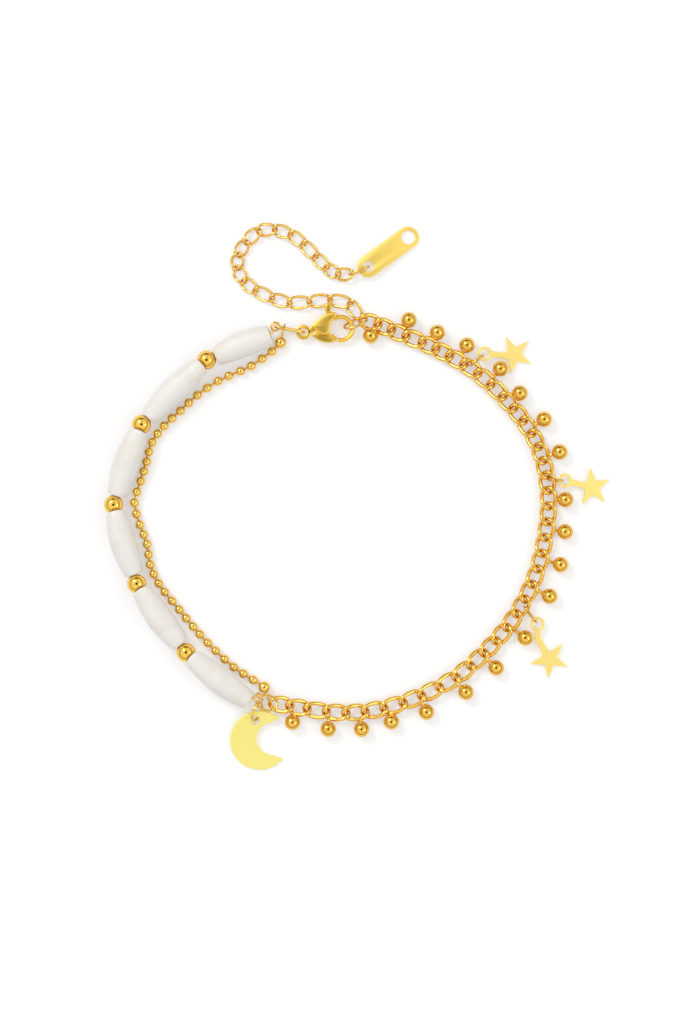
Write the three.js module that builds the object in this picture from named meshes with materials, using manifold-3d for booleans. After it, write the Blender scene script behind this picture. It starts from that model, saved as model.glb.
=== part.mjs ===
// Anklet, gold toned, lying flat: half of the loop is a curb chain with soldered ball drops and
// three star charms, the other half is a string of white barrel beads beside a fine ball chain.
// Millimetres, +Z up. The surface that it lies on is z = 0.
import * as THREE from 'three';
import { mergeVertices } from 'three/addons/utils/BufferGeometryUtils.js';
import Module from 'manifold-3d';

const wasm = await Module();
wasm.setup();

// Curb chain, and how far the wires of two soldered links sink into each other
const curbWire = 0.58;
const curbWidth = 3.0;
const solderLap = 0.1;
// Its middle line, as laid: a point and the number of links up to it
const curbRoute = [
  { x: 0.8, y: 28.95, z: 1.0, link: 0 },
  { x: 3.3, y: 28.3, z: 0.95, link: 1 },
  { x: 5.5, y: 27.3, z: 0.95, link: 2 },
  { x: 10.6, y: 25.3, z: 0.95, link: 4 },
  { x: 15.1, y: 23.1, z: 0.95, link: 6 },
  { x: 19.8, y: 20.2, z: 0.95, link: 8 },
  { x: 23.9, y: 16.4, z: 0.95, link: 10 },
  { x: 27.3, y: 12.4, z: 0.95, link: 12 },
  { x: 29.8, y: 8.1, z: 0.95, link: 14 },
  { x: 31.1, y: 3.4, z: 0.95, link: 16 },
  { x: 31.5, y: -1.7, z: 0.95, link: 18 },
  { x: 30.9, y: -6.9, z: 0.95, link: 20 },
  { x: 29.7, y: -12.1, z: 0.95, link: 22 },
  { x: 27.6, y: -17.1, z: 0.95, link: 24 },
  { x: 24.6, y: -21.8, z: 0.95, link: 26 },
  { x: 20.8, y: -26.0, z: 0.95, link: 28 },
  { x: 16.2, y: -30.0, z: 0.95, link: 30 },
  { x: 10.5, y: -33.0, z: 0.95, link: 32 },
  { x: 4.3, y: -35.1, z: 0.95, link: 34 },
  { x: -2.0, y: -35.9, z: 0.95, link: 36 },
  { x: -8.4, y: -35.2, z: 0.95, link: 38 },
  { x: -14.1, y: -34.2, z: 1.2, link: 40 },
];

// Ball drops soldered to the side of a link: the link, then the ball's place along and outward
const dropDiameter = 2.6;
const dropNeck = 0.62;
const dropBands = 3;
const dropBalls = [
  { link: 0, along: 0.6, out: -2.2 },
  { link: 2, along: 0.8, out: 2.6 },
  { link: 4, along: 0.35, out: 2.5 },
  { link: 6, along: 0.3, out: 2.9 },
  { link: 8, along: 0.95, out: 2.95 },
  { link: 10, along: 0.2, out: 2.4 },
  { link: 12, along: 0.45, out: 2.95 },
  { link: 14, along: 0.75, out: 3.0 },
  { link: 17, along: 0.35, out: 2.75 },
  { link: 19, along: -0.1, out: 3.1 },
  { link: 21, along: -0.3, out: 3.4 },
  { link: 23, along: -0.8, out: 3.4 },
  { link: 25, along: 1.05, out: 3.4 },
  { link: 28, along: -1.3, out: 3.1 },
  { link: 30, along: -1.75, out: 2.9 },
  { link: 32, along: -1.4, out: 2.8 },
  { link: 33, along: 1.1, out: 2.45 },
  { link: 35, along: -0.8, out: 2.8 },
  { link: 36, along: 1.1, out: 2.8 },
  { link: 38, along: 0.55, out: 2.55 },
];

// Extender chain, and the longer link at its start that the clasp holds
const extenderWire = 0.38;
const extenderWidth = 2.4;
const tagLinkWidth = 2.0;
const extenderRoute = [
  { x: 0.1, y: 29.6, z: 0.62, link: 0 },
  { x: -1.2, y: 31.8, z: 0.65, link: 1 },
  { x: -4.6, y: 32.4, z: 0.6, link: 2 },
  { x: -8.0, y: 32.0, z: 0.6, link: 3 },
  { x: -11.3, y: 31.8, z: 0.6, link: 4 },
  { x: -14.2, y: 32.6, z: 0.6, link: 5 },
  { x: -16.9, y: 33.9, z: 0.6, link: 6 },
  { x: -18.9, y: 35.4, z: 0.6, link: 7 },
  { x: -20.0, y: 37.6, z: 0.6, link: 8 },
  { x: -19.8, y: 39.8, z: 0.6, link: 9 },
  { x: -18.5, y: 41.9, z: 0.6, link: 10 },
  { x: -16.4, y: 43.8, z: 0.6, link: 11 },
  { x: -13.7, y: 44.0, z: 0.6, link: 12 },
  { x: -11.1, y: 43.2, z: 0.6, link: 13 },
  { x: -9.0, y: 41.6, z: 0.6, link: 14 },
  { x: -7.0, y: 39.5, z: 0.6, link: 15 },
  { x: -5.2, y: 37.7, z: 0.6, link: 16 },
  { x: -3.3, y: 36.4, z: 0.65, link: 17 },
  { x: -1.1, y: 36.6, z: 0.98, link: 18 },
  { x: 1.5, y: 37.65, z: 1.17, link: 19 },
];
const catchLink = {
  from: { x: -2.25, y: 27.75, z: 1.17 },
  to: { x: 1.5, y: 29.15, z: 1.17 },
  wire: 0.42,
  width: 2.66,
  roll: -57,
};

// Ball chain: one tube as thick as its balls, and a larger end cap with a loop at each end
const ballDiameter = 1.58;
const capDiameter = 2.0;
const ballRoute = [
  { x: -14.2, y: 23.8 },
  { x: -17.6, y: 21.4 },
  { x: -23.1, y: 18.9 },
  { x: -26.5, y: 16.6 },
  { x: -29.3, y: 14.0 },
  { x: -32.0, y: 11.5 },
  { x: -34.0, y: 8.8 },
  { x: -34.9, y: 5.6 },
  { x: -35.85, y: 2.4 },
  { x: -36.9, y: -1.2 },
  { x: -36.0, y: -4.8 },
  { x: -34.8, y: -8.0 },
  { x: -34.3, y: -11.4 },
  { x: -32.9, y: -14.5 },
  { x: -29.5, y: -18.8 },
  { x: -26.1, y: -22.9 },
  { x: -23.5, y: -25.6 },
  { x: -20.5, y: -28.3 },
  { x: -17.3, y: -30.4 },
];
const upperCap = { x: -12.8, y: 25.25, loopHeading: 76, loopLength: 2.6 };
const lowerCap = { x: -15.47, y: -31.6, loopHeading: -73, loopLength: 1.55 };
const capLoopWire = 0.34;
const capLoopHeight = 1.84;
const capLoopSunk = 0.15;

// White barrel beads, gold spacer beads and the wire that strings them
const barrelDiameter = 4.3;
const barrelEnd = 3.0;
const barrelBow = 0.25;
const barrelLip = 0.35;
const barrelFullness = 0.8;
const boreDiameter = 1.2;
const dishDiameter = 2.6;
const dishDepth = 0.5;
const spacerDiameter = 3.17;
const spacerBore = 1.6;
const spacerHeight = 2.35;
const beadWire = 0.4;
const nestBefore = 1.62;
const nestAfter = 1.35;
// Height of a barrel's middle line where it rides over the last spacer and where it dips under the next
const barrelHigh = 2.9;
const barrelLow = 1.8;
const beadStart = { x: -14.35, y: 26.45, z: 2.6 };
const beadEnd = { x: -18.0, y: -33.8, z: barrelLow };
const spacerPlaces = [
  { x: -24.9, y: 22.3 },
  { x: -35.6, y: 11.7 },
  { x: -40.2, y: -1.5 },
  { x: -36.4, y: -14.5 },
  { x: -28.3, y: -25.8 },
];

// Rings at the two ends of the string
const claspRing = { wire: 0.52, width: 2.3, low: 1.04, high: 2.1, x: -13.6, y: 27.8 };
const endRing = {
  x: -15.0, y: -34.17, z: 1.21, heading: -11.2, length: 3.84, width: 3.04, wire: 0.44, roll: -16.7,
};
// Where on the end ring the wire's loop hangs, as an angle round it
const wireLoop = { diameter: 1.72, wire: 0.4, turn: 140.5 };

// Charms: flat plates, each threaded on a small ring
const ringWire = 0.38;
const ringWidth = 2.5;
const ringGap = 0.2;
const ringGapBehind = 0.32;
const ringLift = 0.02;
// Below 1, an upright ring is more nearly a rectangle than an ellipse
const ringSquareness = 0.75;
const plateThickness = 0.45;
// How high a plate's lower face is at its eye
const plateLift = 0.72;
const starRadius = 3.15;
const starInner = 1.2;
const starWaist = 0.9;
const neckBendShare = 0.7;
const starEye = { outer: 2.3, hole: 1.6 };
// Where each star's ring goes round its link and which way it hangs, then the star: which way and
// how far its middle lies from its eye, how it is turned there and how far its neck bends aside
const stars = [
  { link: 7, along: -0.12, hang: 39, ringReach: 2.21, heading: -0.8, reach: 4.92, turn: 8.2, bend: 0 },
  { link: 16, along: -0.25, hang: -1.3, ringReach: 1.77, heading: -13.6, reach: 4.68, turn: 1.1, bend: 0 },
  { link: 24, along: 0.05, hang: -52, ringReach: 2.87, heading: -70.7, reach: 6.17, turn: 12.6, bend: -0.75 },
];
const moonDiameter = 9.74;
const moonBite = { diameter: 5.56, across: 2.2, up: 0.25, upper: 95, lower: 262 };
const moonTips = { upper: 50, lower: -39.6 };
const moonHole = 1.52;
const moonHoleFromEdge = 1.5;
// The moon's hole, from the far end of its ring, and the tag's small hole, from the last link's end
const moonEye = { x: 0.25, y: -0.03, heading: -78 };
const moonRing = {
  from: { x: -16.12, y: -34.11, z: 1.42 },
  to: { x: -17.15, y: -37.07, z: 1.29 },
  wire: 0.46,
  width: 2.98,
  roll: -60,
};
const tagLength = 11.7;
const tagWidth = 3.5;
const tagSmallHole = 1.9;
const tagBigHole = 2.4;
const tagEye = { x: 0.2, y: 0.15, heading: 36.5 };

// Clasp: lengths from its lever's pivot
const clasp = { x: -5.7, y: 27.7, z: 1.15 };
const hook = { x: 2.87, y: -0.15, inner: 1.55, band: 0.76, tip: -122, root: 128 };
const eye = { x: -3.3, y: -0.75, hole: 1.4, band: 0.46 };
const hookThick = 1.0;
const eyeThick = 0.54;
const cheekThick = 0.55;
const leverThick = 0.6;
const slotGap = 0.2;
const pinDiameter = 0.7;
const pinGap = 0.25;
const gateReach = 2.95;
const gateGap = 0.17;
const gateEndThick = 0.9;
const nubHeight = 0.55;
const nubSunk = 0.1;
const leverBoss = 0.85;
// Outlines of its flat pieces, as [x, y] from the pivot: the cheeks, the slot between them, the
// neck of the eye, the sector that the lever's end fills, and the lever's gate, tail, nub and
// sector of travel
const heart = [
  [1.39, 2.43], [0.45, 2.14], [-0.3, 1.62], [-1.04, 1.04], [-1.55, 0.45], [-1.77, 0.15],
  [-1.4, -0.07], [-0.89, -0.66], [-0.4, -0.98], [0.2, -1.05], [0.66, -1.02], [0.96, -0.45],
  [1.02, 0.3], [1.1, 1.0], [1.5, 0.8], [2.1, 1.6], [2.1, 2.3],
];
const slot = [[-1.1, 3.0], [-1.1, -0.25], [-1.6, -0.3], [-1.6, -2], [1.6, -2], [1.3, 0.6], [1.3, 3.0]];
const eyeNeck = [[eye.x, 0.1], [-1.5, 0.45], [-1.15, 0.2], [-1.3, -0.15], [eye.x + 0.7, -1.3]];
const tipCut = [[0, 0], [0.9, -4], [4, -3.2], [4, -0.2]];
const gate = [
  [-1.9, -1.17], [-1.4, -1.68], [-0.6, -2.13], [0.3, -2.43], [1.32, -2.38], [2.6, -2.1],
  [2.9, -1.2], [1.6, -0.5], [0.6, 0.3], [-0.8, -0.3], [-1.45, -0.8],
];
const tail = [[0.3, 0], [1.1, 0], [1.2, 2.8], [0.4, 2.8]];
const nub = [[0.35, 2.5], [1.25, 2.5], [1.28, 3.7], [1.05, 3.9], [0.6, 3.9], [0.35, 3.7]];
const tailRoom = [[0, 0], [3, 0], [3, 5], [0, 5]];

const gold = new THREE.MeshStandardMaterial({ color: 0xe0aa36, roughness: 0.22, metalness: 1 });
const satin = new THREE.MeshStandardMaterial({ color: 0xf6d767, roughness: 0.4, metalness: 1 });
const milk = new THREE.MeshStandardMaterial({ color: 0xebe9e4, roughness: 0.35, metalness: 0 });

const anklet = new THREE.Group();
const { degToRad } = THREE.MathUtils;
const upward = new THREE.Vector3(0, 0, 1);
const sharp = 1e-5;

// Closed geometry to solid and back, for joining and cutting
function solidOf(geometry) {
  const bare = geometry.clone();
  bare.deleteAttribute('normal');
  bare.deleteAttribute('uv');
  const welded = mergeVertices(bare, sharp);
  const corners = welded.index.array;
  const triangles = [];
  for (let i = 0; i < corners.length; i += 3) {
    const [a, b, c] = corners.slice(i, i + 3);
    if (a !== b && b !== c && c !== a) triangles.push(a, b, c);
  }
  return new wasm.Manifold(new wasm.Mesh({
    numProp: 3,
    vertProperties: Float32Array.from(welded.attributes.position.array),
    triVerts: Uint32Array.from(triangles),
  }));
}

function geometryOf(solid) {
  const mesh = solid.getMesh();
  const geometry = new THREE.BufferGeometry();
  geometry.setAttribute('position', new THREE.BufferAttribute(mesh.vertProperties, 3));
  geometry.setIndex(new THREE.BufferAttribute(mesh.triVerts, 1));
  return geometry;
}

function fuse(geometries) {
  return geometryOf(wasm.Manifold.union(geometries.map(solidOf)));
}

function cut(geometry, tools) {
  return geometryOf(solidOf(geometry).subtract(wasm.Manifold.union(tools.map(solidOf))));
}

function overlapOf(first, second) {
  return geometryOf(solidOf(first).intersect(solidOf(second)));
}

function add(name, geometry, material) {
  const mesh = new THREE.Mesh(geometry, material);
  mesh.name = name;
  anklet.add(mesh);
  return mesh;
}

function pointOf({ x, y, z = 0 }) {
  return new THREE.Vector3(x, y, z);
}

function towards(heading) {
  return new THREE.Vector3(Math.cos(degToRad(heading)), Math.sin(degToRad(heading)), 0);
}

// A closed loop of round wire: an oval whose plane turns about its long axis from end to end
const ovalSteps = 10;
const wireSides = 5;
function wireOval({ length, width, wire, twist = 0, squareness = 1 }) {
  const power = (value) => Math.sign(value) * Math.abs(value) ** squareness;
  const a = (length - wire) / 2 / power(Math.cos(Math.PI / ovalSteps));
  const b = (width - wire) / 2;
  const corner = Math.sqrt(2 * Math.PI / wireSides / Math.sin(2 * Math.PI / wireSides));
  const middle = (t) => {
    const x = a * power(Math.cos(2 * Math.PI * t));
    const across = b * power(Math.sin(2 * Math.PI * t));
    const lean = -twist * x / (2 * a);
    return new THREE.Vector3(x, across * Math.cos(lean), across * Math.sin(lean));
  };
  const positions = [];
  const index = [];
  for (let i = 0; i < ovalSteps; i += 1) {
    const t = (i + 0.5) / ovalSteps;
    const centre = middle(t);
    const along = middle(t + 0.01).sub(middle(t - 0.01)).normalize();
    const lean = -twist * centre.x / (2 * a);
    const up = new THREE.Vector3(0, -Math.sin(lean), Math.cos(lean));
    up.addScaledVector(along, -up.dot(along)).normalize();
    const side = along.clone().cross(up);
    for (let j = 0; j < wireSides; j += 1) {
      const angle = 2 * Math.PI * j / wireSides;
      const point = centre.clone();
      point.addScaledVector(up, wire / 2 * corner * Math.cos(angle));
      point.addScaledVector(side, wire / 2 * corner * Math.sin(angle));
      positions.push(point.x, point.y, point.z);
      const here = i * wireSides;
      const next = (i + 1) % ovalSteps * wireSides;
      const turn = (j + 1) % wireSides;
      index.push(here + j, next + turn, next + j);
      index.push(here + j, here + turn, next + turn);
    }
  }
  const geometry = new THREE.BufferGeometry();
  geometry.setAttribute('position', new THREE.Float32BufferAttribute(positions, 3));
  geometry.setIndex(index);
  return geometry;
}

// Put a geometry made along +X at a place, along a direction, rolled about that direction
function place(geometry, point, direction, roll = 0) {
  const along = direction.clone().normalize();
  const side = upward.clone().cross(along).normalize();
  const up = along.clone().cross(side);
  const frame = new THREE.Matrix4().makeBasis(along, side, up).setPosition(point);
  frame.multiply(new THREE.Matrix4().makeRotationX(roll));
  return geometry.clone().applyMatrix4(frame);
}

// A turned profile of [radius, distance] points, carried along a curve. Where lip is given, the
// start's upper edge leans back by it, as that end is cut aslant
function turned(profile, sides, curve, lip = 0) {
  const points = profile.map(([radius, distance]) => new THREE.Vector2(radius, distance));
  const geometry = new THREE.LatheGeometry(points, sides);
  const position = geometry.attributes.position;
  const length = curve.getLength();
  for (let i = 0; i < position.count; i += 1) {
    const share = THREE.MathUtils.clamp(position.getY(i) / length, 0, 1);
    const along = curve.getTangentAt(share).normalize();
    const side = upward.clone().cross(along).normalize();
    const down = side.clone().cross(along);
    const point = curve.getPointAt(share);
    point.addScaledVector(side, position.getX(i));
    point.addScaledVector(down, position.getZ(i));
    point.addScaledVector(along, lip * position.getZ(i) * (1 - share) ** 2);
    point.addScaledVector(along, position.getY(i) - share * length);
    position.setXYZ(i, point.x, point.y, point.z);
  }
  return geometry;
}

// A curve through all the points, with the distance of each one along it
function threaded(points) {
  const curve = new THREE.CatmullRomCurve3(points);
  const divisions = 24;
  curve.arcLengthDivisions = divisions * (points.length - 1);
  const lengths = curve.getLengths();
  return { curve, distances: points.map((point, k) => lengths[k * divisions]) };
}

// The point of a route at a link number
function routePoint(route, curve, number) {
  const last = route.length - 1;
  let row = 0;
  while (row < last - 1 && number > route[row + 1].link) row += 1;
  const share = (number - route[row].link) / (route[row + 1].link - route[row].link);
  return curve.getPoint((row + share) / last);
}

// Links along a route. Each one's end crosses the next one's at right angles and is soldered to it
const linkTwist = degToRad(90);
function linksOf(route, wire) {
  const curve = new THREE.CatmullRomCurve3(route.map(pointOf));
  const links = [];
  for (let i = 0; i < route[route.length - 1].link; i += 1) {
    const from = routePoint(route, curve, i);
    const to = routePoint(route, curve, i + 1);
    const along = to.clone().sub(from);
    links.push({
      middle: from.clone().add(to).multiplyScalar(0.5),
      along: along.clone().normalize(),
      outward: upward.clone().cross(along).normalize(),
      length: along.length() + 2 * wire - solderLap,
    });
  }
  return links;
}

const curbLinks = linksOf(curbRoute, curbWire);

// The place on a curb link's side wire, outer or inner, at a distance along it from its middle
function sideWire({ middle, along, outward, length }, distance, side) {
  const share = 2 * distance / (length - curbWire);
  const across = side * (curbWidth - curbWire) / 2 * Math.sqrt(1 - share * share);
  const lean = -linkTwist * share / 2;
  const point = middle.clone().addScaledVector(along, distance);
  point.addScaledVector(outward, across * Math.cos(lean));
  point.z += across * Math.sin(lean);
  return point;
}

// A ball drop is turned in one piece with its neck
function dropBall({ link, along, out }) {
  const carrier = curbLinks[link];
  const radius = dropDiameter / 2;
  const ball = carrier.middle.clone().addScaledVector(carrier.along, along);
  ball.addScaledVector(carrier.outward, out).setZ(radius);
  const reach = carrier.length / 4;
  const root = sideWire(carrier, THREE.MathUtils.clamp(along, -reach, reach), Math.sign(out));
  const neck = new THREE.LineCurve3(root, ball);
  const length = neck.getLength();
  const profile = [[0, 0], [dropNeck / 2, 0]];
  const firstTurn = Math.PI - Math.asin(dropNeck / dropDiameter);
  for (let i = 0; i < dropBands; i += 1) {
    const turn = firstTurn * (1 - i / dropBands);
    profile.push([radius * Math.sin(turn), length + radius * Math.cos(turn)]);
  }
  profile.push([0, length + radius]);
  return turned(profile, 10, neck);
}

add('curb_chain', fuse([
  ...curbLinks.map(({ middle, along, length }) => place(
    wireOval({ length, width: curbWidth, wire: curbWire, twist: linkTwist }), middle, along)),
  ...dropBalls.map(dropBall),
]), gold);

// Extender: the last link stands on edge to pass round the tag's rim
const extenderLinks = linksOf(extenderRoute, extenderWire);
const tagLink = extenderLinks.pop();
const catchFrom = pointOf(catchLink.from);
const catchAlong = pointOf(catchLink.to).sub(catchFrom);
add('extender_chain', fuse([
  place(wireOval({
    length: catchAlong.length() + catchLink.wire,
    width: catchLink.width,
    wire: catchLink.wire,
  }), catchFrom.clone().addScaledVector(catchAlong, 0.5), catchAlong, degToRad(catchLink.roll)),
  ...extenderLinks.map(({ middle, along, length }) => place(
    wireOval({ length, width: extenderWidth, wire: extenderWire, twist: linkTwist }),
    middle, along)),
  place(wireOval({ length: tagLink.length, width: tagLinkWidth, wire: extenderWire }),
    tagLink.middle, tagLink.along, Math.PI / 2),
]), gold);

// Ball chain
function endCap({ x, y }) {
  const cap = new THREE.SphereGeometry(capDiameter / 2, 10, 6).rotateX(Math.PI / 2);
  return cap.translate(x, y, capDiameter / 2);
}

function ballTube() {
  const points = [upperCap, ...ballRoute, lowerCap].map(pointOf);
  const { curve, distances } = threaded(points.map((point) => point.setZ(ballDiameter / 2)));
  const profile = distances.map((distance) => [ballDiameter / 2, distance]);
  return turned([[0, 0], ...profile, [0, distances[points.length - 1]]], 8, curve);
}

function capLoop({ x, y, loopHeading, loopLength }) {
  const oval = wireOval({ length: loopLength, width: capLoopHeight, wire: capLoopWire });
  const reach = capDiameter / 2 - capLoopSunk + (loopLength - capLoopWire) / 2;
  const centre = pointOf({ x, y, z: capDiameter / 2 }).addScaledVector(towards(loopHeading), reach);
  return place(oval, centre, towards(loopHeading), Math.PI / 2);
}

add('ball_chain', fuse([
  ballTube(),
  endCap(upperCap),
  endCap(lowerCap),
  capLoop(upperCap),
  capLoop(lowerCap),
]), gold);

// Barrel beads lie between the spacers, each bowed outward
const spacers = spacerPlaces.map(pointOf).map((point) => point.setZ(spacerHeight));
const stations = [pointOf(beadStart), ...spacers, pointOf(beadEnd)];
const barrels = [];
for (let i = 0; i < stations.length - 1; i += 1) {
  const along = stations[i + 1].clone().sub(stations[i]).setZ(0).normalize();
  const outward = along.clone().cross(upward);
  const from = stations[i].clone();
  const to = stations[i + 1].clone();
  if (i > 0) from.addScaledVector(along, nestAfter).setZ(barrelHigh);
  if (i < stations.length - 2) to.addScaledVector(along, -nestBefore).setZ(barrelLow);
  const middle = from.clone().add(to).multiplyScalar(0.5).addScaledVector(outward, barrelBow);
  barrels.push({ from, middle, to });
}

function barrelProfile(length) {
  const bore = boreDiameter / 2;
  const end = barrelEnd / 2;
  const profile = [[bore, dishDepth], [dishDiameter / 2, 0], [end, 0]];
  [0.2, 0.5, 0.8].forEach((share) => {
    const swell = (barrelDiameter - barrelEnd) / 2 * Math.sin(Math.PI * share) ** barrelFullness;
    profile.push([end + swell, share * length]);
  });
  profile.push([end, length], [dishDiameter / 2, length], [bore, length - dishDepth]);
  profile.push(profile[0]);
  return profile;
}

barrels.forEach(({ from, middle, to }, i) => {
  const { curve } = threaded([from, middle, to]);
  const lip = i > 0 ? barrelLip : 0;
  add(`white_bead_${i + 1}`, turned(barrelProfile(curve.getLength()), 10, curve, lip), milk);
});

spacers.forEach((centre, i) => {
  const along = barrels[i + 1].from.clone().sub(barrels[i].to).normalize();
  const radius = spacerDiameter / 2;
  const mouth = Math.acos(spacerBore / spacerDiameter);
  const profile = [-1, -0.5, 0, 0.5, 1, -1].map((share) => [
    radius * Math.cos(mouth * share), radius + radius * Math.sin(mouth * share)]);
  const line = new THREE.LineCurve3(
    centre.clone().addScaledVector(along, -radius), centre.clone().addScaledVector(along, radius));
  add(`gold_bead_${i + 1}`, turned(profile, 10, line), gold);
});

// Ring between the clasp's eye and the string: it stands on edge
const eyePlace = new THREE.Vector3(clasp.x + eye.x, clasp.y + eye.y, claspRing.low);
const ringEnd = pointOf({ x: claspRing.x, y: claspRing.y, z: claspRing.high });
const claspRingAlong = ringEnd.clone().sub(eyePlace);
add('clasp_ring', place(wireOval({
  length: claspRingAlong.length() + claspRing.wire,
  width: claspRing.width,
  wire: claspRing.wire,
  squareness: ringSquareness,
}), eyePlace.clone().addScaledVector(claspRingAlong, 0.5), claspRingAlong, Math.PI / 2), gold);

const endRingPlace = pointOf(endRing);
const endRingRoll = degToRad(endRing.roll);
add('end_ring', place(
  wireOval({ length: endRing.length, width: endRing.width, wire: endRing.wire }),
  endRingPlace, towards(endRing.heading), endRingRoll), gold);

// The stringing wire ends in a loop round each ring, square to the ring's own wire
const ringHalfLength = (endRing.length - endRing.wire) / 2;
const ringHalfWidth = (endRing.width - endRing.wire) / 2;
const loopTurn = degToRad(wireLoop.turn);
const ringSide = towards(endRing.heading + 90);
const lastLoop = endRingPlace.clone();
lastLoop.addScaledVector(towards(endRing.heading), ringHalfLength * Math.cos(loopTurn));
lastLoop.addScaledVector(ringSide, ringHalfWidth * Math.sin(loopTurn) * Math.cos(endRingRoll));
lastLoop.z += ringHalfWidth * Math.sin(loopTurn) * Math.sin(endRingRoll);
const lastLoopFacing = towards(endRing.heading).multiplyScalar(Math.cos(loopTurn) / ringHalfLength);
lastLoopFacing.addScaledVector(
  ringSide, Math.sin(loopTurn) / ringHalfWidth * Math.cos(endRingRoll));
function stringWire() {
  const points = [];
  barrels.forEach(({ from, middle, to }, i) => {
    points.push(from, middle, to);
    if (i < spacers.length) points.push(spacers[i]);
  });
  const radius = (wireLoop.diameter - wireLoop.wire) / 2;
  const first = ringEnd.clone().lerp(barrels[0].from, radius / ringEnd.distanceTo(barrels[0].from));
  const last = lastLoop.clone().addScaledVector(lastLoopFacing.normalize(), radius);
  const { curve, distances } = threaded([first, ...points, last]);
  const profile = [[0, 0]];
  distances.forEach((distance, k) => {
    profile.push([beadWire / 2, distance]);
    if (k < distances.length - 1) profile.push([beadWire / 2, (distance + distances[k + 1]) / 2]);
  });
  profile.push([0, distances[distances.length - 1]]);
  return turned(profile, 5, curve);
}

const loopOval = wireOval({
  length: wireLoop.diameter, width: wireLoop.diameter, wire: wireLoop.wire });
add('bead_wire', fuse([
  stringWire(),
  place(loopOval, ringEnd, new THREE.Vector3(1, 0, 0)),
  place(loopOval, lastLoop, lastLoopFacing, Math.PI / 2),
]), gold);

// Flat charms: an outline with its eye at the origin, hung along +X, then laid with its far end
// on the surface and its eye raised
function plateOf(outline) {
  const plate = new THREE.ExtrudeGeometry(outline, {
    depth: plateThickness, bevelEnabled: false, curveSegments: 9 });
  return plate.translate(0, 0, -plateThickness / 2);
}

function layPlate(mesh, { x, y }, heading, farthest) {
  const tilt = Math.asin(plateLift / farthest);
  mesh.position.set(x, y, plateThickness / 2 * Math.cos(tilt) + plateLift);
  mesh.rotation.set(0, tilt, degToRad(heading), 'ZYX');
}

function circleHole(x, y, diameter) {
  return new THREE.Path().absarc(x, y, diameter / 2, 0, 2 * Math.PI, true);
}

// A star's corners stand every 36 degrees, outer and inner by turns. Its neck joins the flanks of
// the first one where they are as far apart as the neck is wide
const cornerStep = degToRad(36);
function starShape({ reach, turn, bend }) {
  const middle = new THREE.Vector2(reach, 0);
  const centre = new THREE.Vector2();
  const at = (x, y) => new THREE.Vector2(x, y).rotateAround(centre, degToRad(turn)).add(middle);
  const flank = (starRadius - starInner * Math.cos(cornerStep)) / starInner / Math.sin(cornerStep);
  const root = starWaist / 2 * flank - starRadius;
  const elbow = new THREE.Vector2((reach - starRadius) * neckBendShare, bend);
  const leaving = elbow.angle();
  const across = at(root, 0).angle() + Math.PI / 2;
  const half = new THREE.Vector2(Math.cos(across), Math.sin(across)).multiplyScalar(starWaist / 2);
  const neck = Math.asin(starWaist / starEye.outer);
  const outline = new THREE.Shape();
  outline.absarc(0, 0, starEye.outer / 2, leaving + neck, leaving + 2 * Math.PI - neck, false);
  const corners = [elbow.clone().sub(half), at(root, -starWaist / 2)];
  for (let i = 1; i < 10; i += 1) {
    const radius = i % 2 ? starInner : starRadius;
    corners.push(at(-radius * Math.cos(cornerStep * i), -radius * Math.sin(cornerStep * i)));
  }
  corners.push(at(root, starWaist / 2), elbow.clone().add(half));
  corners.forEach(({ x, y }) => outline.lineTo(x, y));
  outline.holes.push(circleHole(0, 0, starEye.hole));
  return outline;
}

stars.forEach((row, i) => {
  const { link, along, hang, ringReach, heading, reach, turn } = row;
  const wirePlace = sideWire(curbLinks[link], along, 1);
  const out = towards(hang);
  const eyeCentre = wirePlace.clone().addScaledVector(out, ringReach);
  const star = add(`star_${i + 1}`, plateOf(starShape(row)), satin);
  layPlate(star, eyeCentre, heading, reach + starRadius * Math.cos(cornerStep - degToRad(turn)));
  const behind = (curbWire + ringWire) / 2 + ringGapBehind;
  const inside = (starEye.hole - ringWire) / 2 - ringGap;
  const length = ringReach + behind - inside + ringWire;
  const centre = wirePlace.clone().addScaledVector(out, (ringReach - inside - behind) / 2);
  add(`star_ring_${i + 1}`, place(wireOval({
    length, width: ringWidth, wire: ringWire, squareness: ringSquareness }),
  centre.setZ(ringWidth / 2 + ringLift), out, Math.PI / 2), gold);
});

// Crescent moon, threaded near its upper tip
function moonShape() {
  const radius = moonDiameter / 2;
  const fromHole = radius - moonHoleFromEdge;
  const centre = new THREE.Vector2(fromHole, 0);
  const turn = moonEye.heading;
  const at = (angle, r, c) => new THREE.Vector2(
    c.x + r * Math.cos(degToRad(angle - turn)), c.y + r * Math.sin(degToRad(angle - turn)));
  const bite = at(Math.atan2(moonBite.up, moonBite.across) * 180 / Math.PI,
    Math.hypot(moonBite.across, moonBite.up), centre);
  const outline = new THREE.Shape();
  outline.absarc(centre.x, centre.y, radius,
    degToRad(moonTips.upper - turn), degToRad(360 + moonTips.lower - turn), false);
  outline.absarc(bite.x, bite.y, moonBite.diameter / 2,
    degToRad(moonBite.lower - turn), degToRad(moonBite.upper - turn), true);
  outline.closePath();
  outline.holes.push(circleHole(0, 0, moonHole));
  return outline;
}
const moon = add('moon_pendant', plateOf(moonShape()), satin);
const moonRingFrom = pointOf(moonRing.from);
const moonRingTo = pointOf(moonRing.to);
const moonRingAlong = moonRingTo.clone().sub(moonRingFrom);
layPlate(moon, pointOf(moonEye).add(moonRingTo), moonEye.heading,
  moonDiameter - moonHoleFromEdge);
add('moon_ring', place(wireOval({
  length: moonRingAlong.length() + moonRing.wire,
  width: moonRing.width,
  wire: moonRing.wire,
}), moonRingFrom.clone().addScaledVector(moonRingAlong, 0.5), moonRingAlong,
degToRad(moonRing.roll)), gold);

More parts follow.
